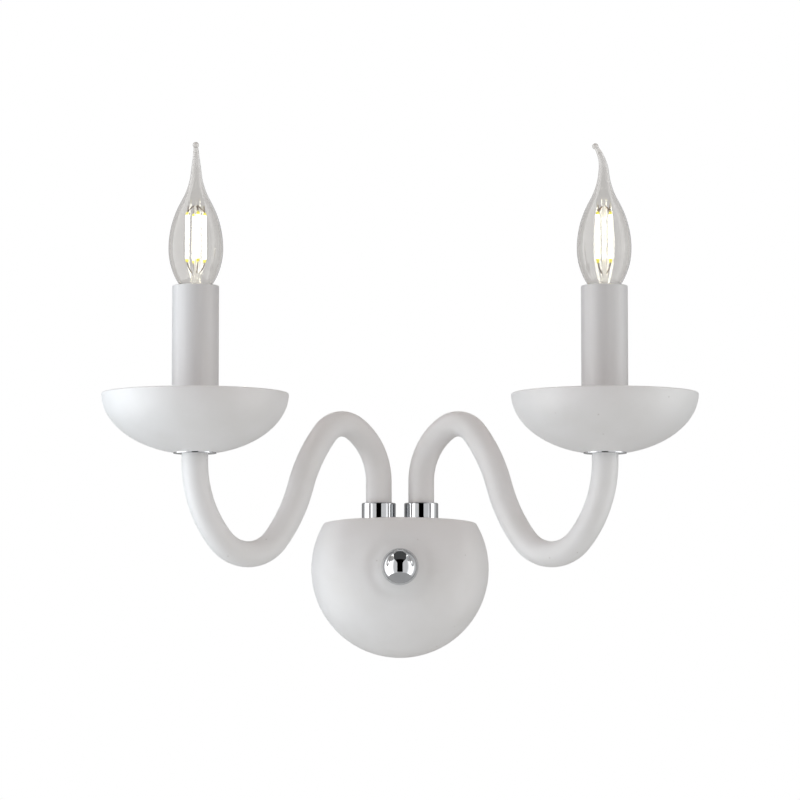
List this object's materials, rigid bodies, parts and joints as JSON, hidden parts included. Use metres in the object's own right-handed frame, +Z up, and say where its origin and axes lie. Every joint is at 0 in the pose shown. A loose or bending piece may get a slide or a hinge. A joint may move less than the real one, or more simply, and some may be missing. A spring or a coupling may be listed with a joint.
{
  "type": "candle wall light",
  "caption": "Wall light in satin white glass: bent tube arms rise from a half-bowl wall cover with a ball finial and carry drip bowls, candle sleeves and flame bulbs.",
  "frame": {"origin": "the finial's axis where it meets the wall plane, midway between the two wall screws", "axes": "+Y into the wall, -Y out to the viewer, +Z up, +X to the viewer's right"},
  "size_m": [0.382, 0.15, 0.3297],
  "materials": {
    "opal_glass": "satin white opal glass",
    "clear_glass": "clear blown glass",
    "stem_glass": "clear glass stem",
    "chrome": "mirror chrome",
    "sleeve_white": "gloss white",
    "zinc_steel": "zinc plated",
    "brass": "plain brass",
    "nickel_cap": "nickel plated",
    "holder_white": "moulded white",
    "terminal_plastic": "moulded natural",
    "cement": "set plaster",
    "black_insulator": "black vitrite",
    "solder": "solder",
    "filament": "lit phosphor coating",
    "support_wire": "bright drawn wire",
    "rubber_black": "moulded rubber",
    "clear_washer": "soft natural plastic",
    "wire_brown": "brown insulation",
    "wire_blue": "blue insulation"
  },
  "bodies": {
    "fixture": {"wall_plate": "zinc_steel", "arm_bracket": "zinc_steel", "bracket_screws": "zinc_steel", "earth_screw": "brass", "cable_grommet": "rubber_black", "terminal_block": "terminal_plastic", "terminal_clamps": "brass", "terminal_screws": "zinc_steel", "terminal_fixing_screw": "zinc_steel", "cover_stud": "zinc_steel", "stud_nut": "zinc_steel", "cover_stop_nut": "zinc_steel", "cover_back_washer": "clear_washer", "glass_cover": "opal_glass", "live_wires": "wire_brown", "neutral_wires": "wire_blue", "cup_nipples": "zinc_steel", "cup_washers": "zinc_steel", "cup_nuts": "zinc_steel", "cup_cement": "cement", "tip_nipples": "zinc_steel", "tip_cement": "cement", "bowl_washers": "zinc_steel", "bowl_nuts": "zinc_steel", "left_arm_cup": "chrome", "left_glass_arm": "opal_glass", "left_bowl_seat": "chrome", "left_drip_bowl": "opal_glass", "left_candle_sleeve": "sleeve_white", "left_holder_strap": "zinc_steel", "left_holder_body": "holder_white", "left_holder_shell": "brass", "left_holder_contact": "brass", "right_arm_cup": "chrome", "right_glass_arm": "opal_glass", "right_bowl_seat": "chrome", "right_drip_bowl": "opal_glass", "right_candle_sleeve": "sleeve_white", "right_holder_strap": "zinc_steel", "right_holder_body": "holder_white", "right_holder_shell": "brass", "right_holder_contact": "brass"},
    "left_bulb_foot": {"left_bulb_contact": "solder"},
    "left_bulb": {"left_bulb_glass": "clear_glass", "left_bulb_cap": "nickel_cap", "left_bulb_insulator": "black_insulator", "left_bulb_stem": "stem_glass", "left_bulb_filaments": "filament", "left_bulb_wires": "support_wire"},
    "right_bulb_foot": {"right_bulb_contact": "solder"},
    "right_bulb": {"right_bulb_glass": "clear_glass", "right_bulb_cap": "nickel_cap", "right_bulb_insulator": "black_insulator", "right_bulb_stem": "stem_glass", "right_bulb_filaments": "filament", "right_bulb_wires": "support_wire"},
    "finial_seat": {"finial_washer": "clear_washer"},
    "finial": {"finial_ball": "chrome"}
  },
  "joints": [
    {"name": "left_bulb_lift", "type": "slide", "parent": "fixture", "child": "left_bulb_foot", "axis": [0, 0, 1], "range_m": [0, 0.01411]},
    {"name": "left_bulb_turn", "type": "hinge", "parent": "left_bulb_foot", "child": "left_bulb", "pos_m": [-0.131, -0.09, 0.17], "axis": [0, 0, 1], "range_deg": [0, 1800]},
    {"name": "right_bulb_lift", "type": "slide", "parent": "fixture", "child": "right_bulb_foot", "axis": [0, 0, 1], "range_m": [0, 0.01411]},
    {"name": "right_bulb_turn", "type": "hinge", "parent": "right_bulb_foot", "child": "right_bulb", "pos_m": [0.131, -0.09, 0.17], "axis": [0, 0, 1], "range_deg": [0, 1800]},
    {"name": "finial_out", "type": "slide", "parent": "fixture", "child": "finial_seat", "axis": [0, -1, 0], "range_m": [0, 0.01]},
    {"name": "finial_turn", "type": "hinge", "parent": "finial_seat", "child": "finial", "pos_m": [0, -0.05, 0], "axis": [0, -1, 0], "range_deg": [0, 4500]}
  ],
  "couplings": [
    {"joint": "left_bulb_lift", "follows": "left_bulb_turn", "m_per_rad": 0.00044913},
    {"joint": "right_bulb_lift", "follows": "right_bulb_turn", "m_per_rad": 0.00044913},
    {"joint": "finial_out", "follows": "finial_turn", "m_per_rad": 0.00012732}
  ]
}
